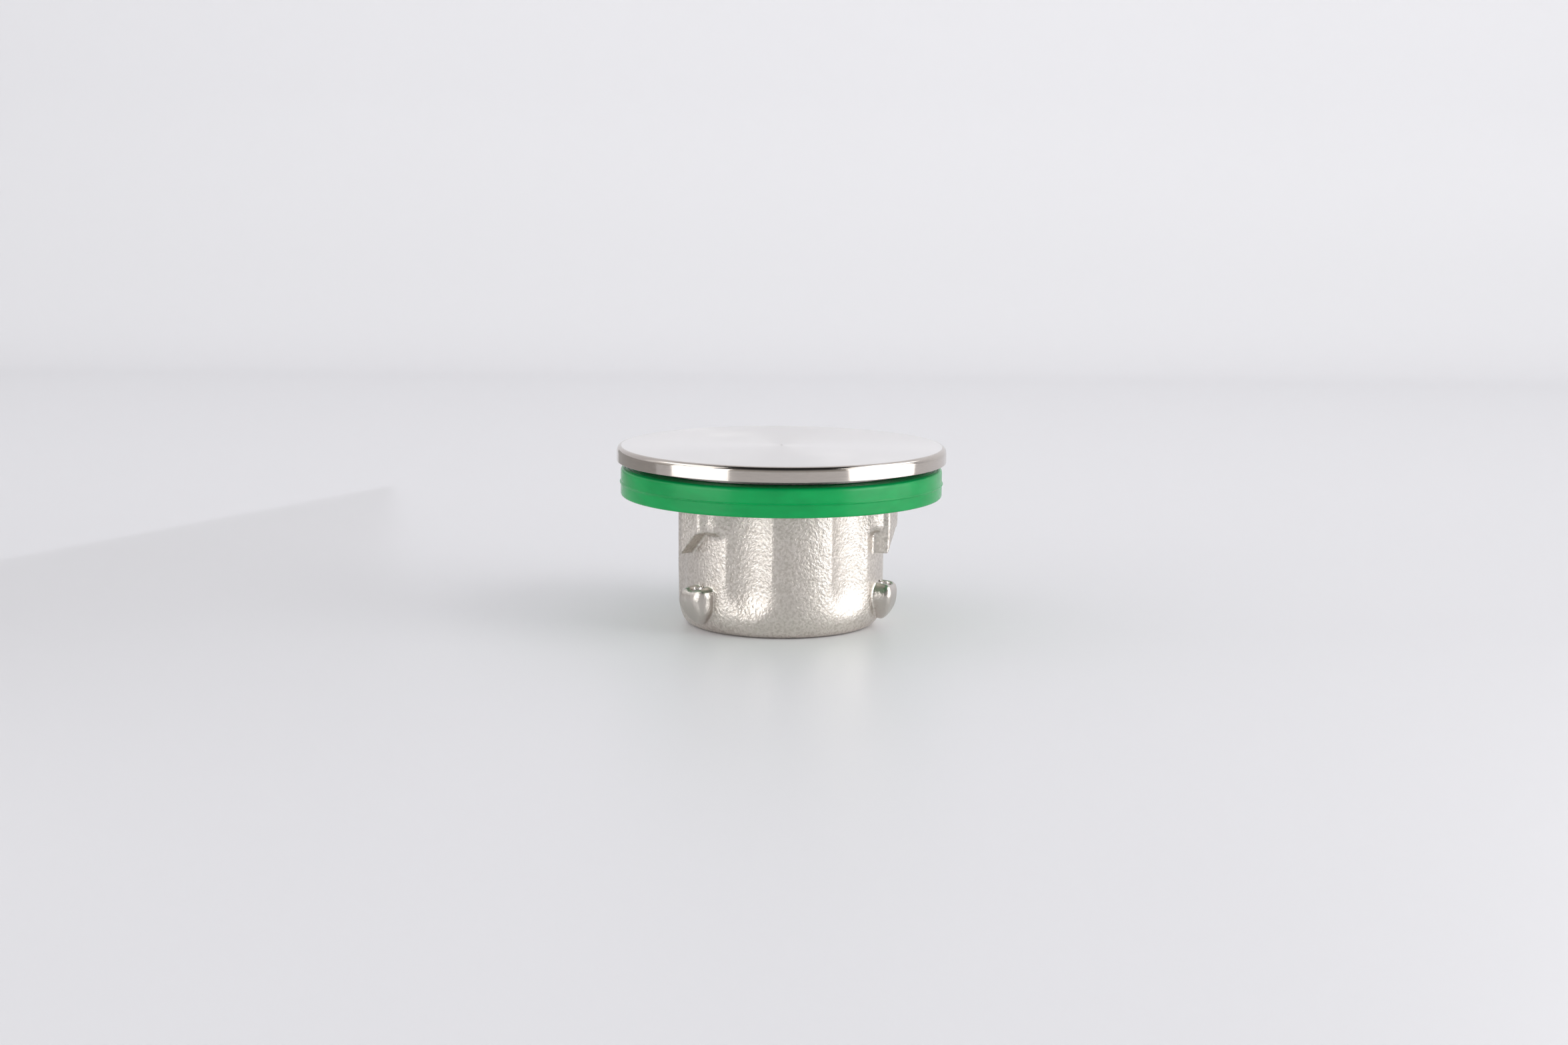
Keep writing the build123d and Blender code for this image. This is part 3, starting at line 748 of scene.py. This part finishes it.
    def bore_tool(self, sizes, finish):
        """Bore with the strainer's recess, the spider's shoulder and two snap ring grooves."""
        overshoot = 1.0 * MM
        below, above = -overshoot, sizes.flange_bottom + overshoot
        recess_top = screen_high.z
        shoulder = spider_low.z
        outline = [(0.0, below), (sizes.mouth_radius, below)]
        outline += self.groove(sizes.mouth_radius, sizes.groove_radius, lower_clip_low, lower_clip_high)
        outline += [
            (sizes.mouth_radius, recess_top),
            (sizes.bore_radius, recess_top),
            (sizes.bore_radius, shoulder),
            (sizes.guide_bore_radius, shoulder),
        ]
        outline += self.groove(sizes.guide_bore_radius, sizes.groove_radius, upper_clip_low, upper_clip_high)
        outline += [(sizes.guide_bore_radius, above), (0.0, above)]
        return loose_object("bore tool", spun(outline, steps=144, closed=False), finish)

    def groove(self, radius, groove_radius, clip_low, clip_high):
        """Outline of a groove a little taller than its snap ring."""
        play = 0.02 * MM
        return [
            (radius, clip_low.z - play),
            (groove_radius, clip_low.z - play),
            (groove_radius, clip_high.z + play),
            (radius, clip_high.z + play),
        ]

    def pin_seat_tool(self, sizes, finish):
        """Three balls that mill the pin seats."""
        bm = bmesh.new()
        for index in range(3):
            angle = index * FULL_TURN / 3
            centre = Vector((sizes.pin_seat_circle * cos(angle), sizes.pin_seat_circle * sin(angle),
                             sizes.pin_seat_height))
            bmesh.ops.create_uvsphere(bm, u_segments=48, v_segments=24, radius=sizes.pin_seat_radius,
                                      matrix=Matrix.Translation(centre))
        for face in bm.faces:
            face.smooth = True
        return loose_object("pin seat tool", bm, finish)

    def flange(self, sizes, finish):
        """Turned flange that the seal ring grips."""
        bottom, top, radius = sizes.flange_bottom - SEAM, cage_high.z, cage_high.x
        neck_radius, chamfer = 22.2 * MM, 0.4 * MM
        outline = [
            (sizes.guide_bore_radius, bottom),
            (neck_radius, bottom),
            (neck_radius, sizes.flange_bottom),
            (radius, sizes.flange_bottom),
            (radius, top),
            (sizes.guide_bore_radius + chamfer, top),
            (sizes.guide_bore_radius, top - chamfer),
        ]
        bm = spun(outline)
        round_corners(bm, 0.08 * MM, segments=2)
        even_normals(piece_from("cast_flange", bm, (finish,), "cage", "cast_stainless", "cage_casting"))


class INSERT_OT_inner_pieces(bpy.types.Operator):
    """Finishes for the CAD pieces that stay, and the spring as a piece of its own"""

    bl_idname = "insert.inner_pieces"
    bl_label = "Inner pieces"

    def execute(self, context):
        colours = context.scene.insert_colours
        steel = colours.turned_steel
        finishes = {
            "machined_stainless": machined_steel("machined_steel", steel, 0.3),
            "ground_stainless": machined_steel("ground_steel", steel, 0.16),
            "pressed_stainless": machined_steel("sheet_steel", darker(steel, 0.92), 0.28, (1.0, 9.0, 1.0)),
            "spring_wire": machined_steel("drawn_wire", darker(steel, 0.82), 0.22, (2.0, 2.0, 2.0)),
            "bush_polymer": plain_polymer("bush_polymer", colours.bush_white, 0.42),
            "buffer_polymer": plain_polymer("buffer_rubber", (0.02, 0.02, 0.022), 0.55),
            "fibre_gasket": plain_polymer("fibre_gasket", (0.10, 0.105, 0.11), 0.7),
        }
        for entry in frame["record"]["subparts"]:
            finish = finishes.get(entry["material_slot"])
            if finish is None:
                continue
            node = frame["nodes"][entry["node"]]
            node.data.materials.clear()
            node.data.materials.append(finish)
        self.coil(finishes["spring_wire"])
        return {"FINISHED"}

    def coil(self, finish):
        """Spring rebuilt from the CAD coil as a piece of its own on the cage."""
        bm = bmesh.new()
        bm.from_mesh(frame["nodes"]["spring"].data)
        bmesh.ops.remove_doubles(bm, verts=bm.verts, dist=WELD)
        piece = piece_from("coil_spring", bm, (finish,), "cage", "spring_wire", "spring")
        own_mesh(piece)


class INSERT_OT_stage(bpy.types.Operator):
    """Camera, white table with its wall, and the soft lights"""

    bl_idname = "insert.stage"
    bl_label = "Stage"

    def execute(self, context):
        sizes, colours = context.scene.insert_stage, context.scene.insert_colours
        self.near = Vector((sin(sizes.azimuth), -cos(sizes.azimuth), 0.0))
        self.right = Vector((cos(sizes.azimuth), sin(sizes.azimuth), 0.0))
        self.up = Vector((0.0, 0.0, 1.0))
        self.camera(context.scene, sizes)
        self.table(sizes, colours)
        self.lights()
        self.surroundings(context.scene)
        context.scene.view_settings.view_transform = "Standard"
        return {"FINISHED"}

    def camera(self, scene, sizes):
        """Camera at its place, aimed just right of the axis."""
        data = bpy.data.cameras.new("camera")
        data.sensor_width = sizes.sensor
        data.lens = sizes.lens
        data.clip_start, data.clip_end = 0.01, 10.0
        camera = bpy.data.objects.new("camera", data)
        scene.collection.objects.link(camera)
        camera.location = self.near * sizes.distance + self.up * sizes.height
        aim = self.right * sizes.aim_right + self.up * sizes.aim_height
        level = (aim - camera.location).to_track_quat("-Z", "Y").to_matrix()
        camera.rotation_euler = (level @ Matrix.Rotation(sizes.roll, 3, "Z")).to_euler()
        scene.camera = camera

    def table(self, sizes, colours):
        """Floor and wall in one sheet, rounded where they meet."""
        bm = bmesh.new()
        half_width, front, wall_top, cove = 3.0, 3.0, 2.5, 0.1
        floor = self.up * -sizes.floor_drop
        corner = floor - self.near * sizes.wall_distance
        places = (floor + self.near * front, corner, corner + self.up * wall_top)
        line = [bm.verts.new(place - self.right * half_width) for place in places]
        edges = [bm.edges.new(pair) for pair in zip(line, line[1:])]
        bmesh.ops.extrude_edge_only(bm, edges=edges)
        moved = [vert for vert in bm.verts if vert not in line]
        bmesh.ops.translate(bm, verts=moved, vec=self.right * 2 * half_width)
        crease = [edge for edge in bm.edges if len(edge.link_faces) == 2]
        bmesh.ops.bevel(bm, geom=crease, offset=cove, segments=24, profile=0.5, affect="EDGES", material=-1)
        bmesh.ops.recalc_face_normals(bm, faces=bm.faces)
        for face in bm.faces:
            face.smooth = True
        sheet = loose_object("table", bm, studio_floor(colours))

    def lights(self):
        """Diffusers close at both sides for the metal, a grey card, and broad lights for the shadows."""
        low, high = {"height": 0.12, "middle": 0.062}, {"height": 0.20, "middle": 0.23}
        self.diffuser("low left diffuser", angle=-54.7, width=0.146, glow=1.75, **low)
        self.diffuser("high left diffuser", angle=-72.5, width=0.168, glow=1.9, **high)
        self.diffuser("low right diffuser", angle=71.0, width=0.195, glow=2.3, **low)
        self.diffuser("high right diffuser", angle=90.5, width=0.18, glow=2.4, **high)
        self.card(angle=-120, distance=0.17, width=0.20, height=0.05)
        self.key("right key", angle=70, distance=1.1, height=0.75, size=0.75, glow=1.9)
        self.key("left key", angle=-100, distance=1.3, height=0.8, size=0.9, glow=0.4)
        self.key("right fill", angle=62, distance=0.6, height=0.16, size=0.3, glow=1.9)
        self.key("left fill", angle=-50, distance=0.6, height=0.16, size=0.3, glow=1.1)
        self.wall_wash("wall wash", height=0.6, size=0.7, glow=0.5)

    def card(self, angle, distance, width, height):
        """Grey card that only darkens reflections."""
        outward = self.outward(angle)
        across = outward.cross(self.up)
        lower_edge = 1 * MM
        bm = bmesh.new()
        corners = [outward * distance + across * side * width / 2 + self.up * level
                   for side, level in ((-1, lower_edge), (1, lower_edge), (1, height), (-1, height))]
        bm.faces.new([bm.verts.new(corner) for corner in corners])
        sheet = loose_object("grey card", bm, plain_polymer("card_grey", (0.45, 0.44, 0.43), 0.8))
        sheet.visible_camera = sheet.visible_diffuse = sheet.visible_shadow = False

    def outward(self, angle):
        """Level direction from the axis, at an angle in degrees from the camera's side."""
        return self.near * cos(radians(angle)) + self.right * sin(radians(angle))

    def area(self, name, angle, distance, height, size, glow):
        """Area light, not yet turned, at an angle from the camera's side, and its outward direction."""
        data = bpy.data.lights.new(name, "AREA")
        data.shape = "RECTANGLE"
        data.size, data.size_y = size
        data.energy = glow * pi * size[0] * size[1]
        lamp = bpy.data.objects.new(name, data)
        bpy.context.scene.collection.objects.link(lamp)
        outward = self.outward(angle)
        lamp.location = outward * distance + self.up * height
        lamp.visible_camera = False
        return lamp, outward

    def diffuser(self, name, angle, width, height, middle, glow, distance=0.19):
        """Upright panel close to the insert, seen only as a reflection."""
        lamp, outward = self.area(name, angle, distance, middle, (width, height), glow)
        lamp.rotation_euler = outward.to_track_quat("Z", "Y").to_euler()
        lamp.visible_diffuse = False

    def key(self, name, angle, distance, height, size, glow):
        """Broad light that models the colours and the shadows."""
        lamp, _ = self.area(name, angle, distance, height, (size, size), glow)
        lamp.rotation_euler = lamp.location.to_track_quat("Z", "Y").to_euler()

    def wall_wash(self, name, height, size, glow):
        """Broad light over the insert that faces the wall and shows in no reflection."""
        lamp, _ = self.area(name, 0, 0.0, height, (size, size), glow)
        lamp.rotation_euler = self.near.to_track_quat("Z", "Y").to_euler()
        lamp.visible_glossy = False

    def surroundings(self, scene):
        """Room of even light; reflections see it light near the horizon and dark overhead."""
        horizon_glow, overhead_dark = (0.50, 0.49, 0.48), (0.025, 0.025, 0.025)
        horizon_room, overhead_room = (0.97, 0.966, 0.982), (0.60, 0.597, 0.614)
        glow_top, dark_bottom = 0.2, 0.75
        world = bpy.data.worlds.new("room")
        world.use_nodes = True
        tree = world.node_tree
        place = add_node(tree, "ShaderNodeTexCoord")
        split = add_node(tree, "ShaderNodeSeparateXYZ")
        tree.links.new(place.outputs["Generated"], split.inputs["Vector"])
        level = spread(tree, split.outputs["Z"], glow_top, dark_bottom, 0.0, 1.0)
        mirrored = mixed(tree, level, horizon_glow, overhead_dark)
        overhead = spread(tree, split.outputs["Z"], 0.0, 1.0, 0.0, 1.0)
        room = mixed(tree, overhead, horizon_room, overhead_room)
        rays = add_node(tree, "ShaderNodeLightPath")
        tone = mixed(tree, rays.outputs["Is Glossy Ray"], room, mirrored)
        tree.links.new(tone, tree.nodes["Background"].inputs["Color"])
        scene.world = world


class INSERT_PT_pieces(bpy.types.Panel):
    """Lists the pieces of the insert"""

    bl_label = "Valve insert"
    bl_idname = "INSERT_PT_pieces"
    bl_space_type = "VIEW_3D"
    bl_region_type = "UI"
    bl_category = "Insert"

    def draw(self, context):
        for operator in OPERATORS:
            self.layout.operator(operator.bl_idname)


GROUPS = {
    "insert_disc": DiscSizes,
    "insert_ring": RingSizes,
    "insert_casting": CastingSizes,
    "insert_colours": InsertColours,
    "insert_stage": StageSizes,
}
OPERATORS = (
    INSERT_OT_disc,
    INSERT_OT_seal_ring,
    INSERT_OT_casting,
    INSERT_OT_inner_pieces,
    INSERT_OT_stage,
)


def register():
    """Registers the classes and hangs the sizes on the scene."""
    for group in GROUPS.values():
        bpy.utils.register_class(group)
    for operator in OPERATORS:
        bpy.utils.register_class(operator)
    bpy.utils.register_class(INSERT_PT_pieces)
    for name, group in GROUPS.items():
        setattr(bpy.types.Scene, name, PointerProperty(type=group))


def unregister():
    """Takes the classes and the sizes away again."""
    for name in GROUPS:
        delattr(bpy.types.Scene, name)
    bpy.utils.unregister_class(INSERT_PT_pieces)
    for operator in reversed(OPERATORS):
        bpy.utils.unregister_class(operator)
    for group in reversed(list(GROUPS.values())):
        bpy.utils.unregister_class(group)


def remove_tools():
    """Removes the cutting tools once every piece is made."""
    for tool in [item for item in bpy.data.objects if item.name.endswith(" tool")]:
        bpy.data.objects.remove(tool)


def main():
    """Builds every piece and the stage."""
    register()
    bpy.ops.insert.disc()
    bpy.ops.insert.seal_ring()
    bpy.ops.insert.casting()
    bpy.ops.insert.inner_pieces()
    bpy.ops.insert.stage()
    remove_tools()


if __name__ == "__main__":
    main()
